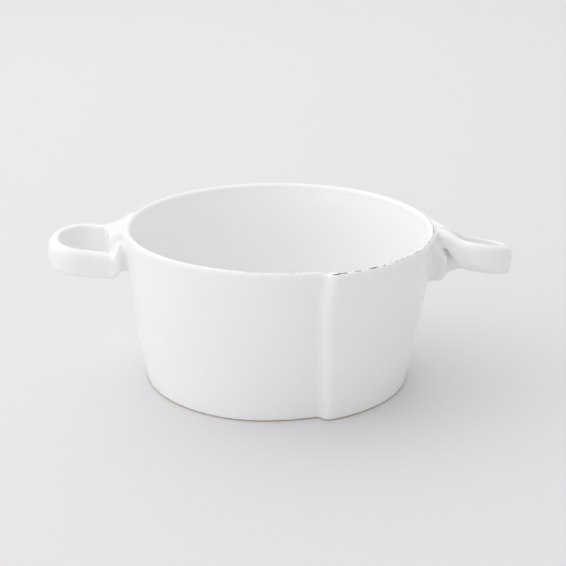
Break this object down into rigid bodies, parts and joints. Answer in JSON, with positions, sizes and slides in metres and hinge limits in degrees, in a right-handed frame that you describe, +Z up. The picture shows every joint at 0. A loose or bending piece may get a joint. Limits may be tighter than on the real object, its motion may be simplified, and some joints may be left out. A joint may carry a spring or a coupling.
{
  "type": "french onion soup crock",
  "caption": "Round straight-sided soup crock, slab built in white glazed clay with a lapped front seam and two looped strap handles below the rim.",
  "frame": {"origin": "centre of the flat underside, on the surface that the crock stands on", "axes": "+Z up through the open mouth, +X through the right handle, -Y towards the front where the lap shows"},
  "size_m": [0.189, 0.1273, 0.064],
  "materials": {
    "glazed_wall": "glossy white glaze, worn to bare clay along the rim",
    "glazed_floor": "glossy white glaze inside, bare clay underneath",
    "glazed_handles": "glossy white glaze"
  },
  "bodies": {
    "root": {"wall_slab": "glazed_wall", "floor_slab": "glazed_floor", "corner_coil": "glazed_floor", "left_handle_strap": "glazed_handles", "left_root_web": "glazed_handles", "right_handle_strap": "glazed_handles", "right_root_web": "glazed_handles"}
  },
  "joints": []
}
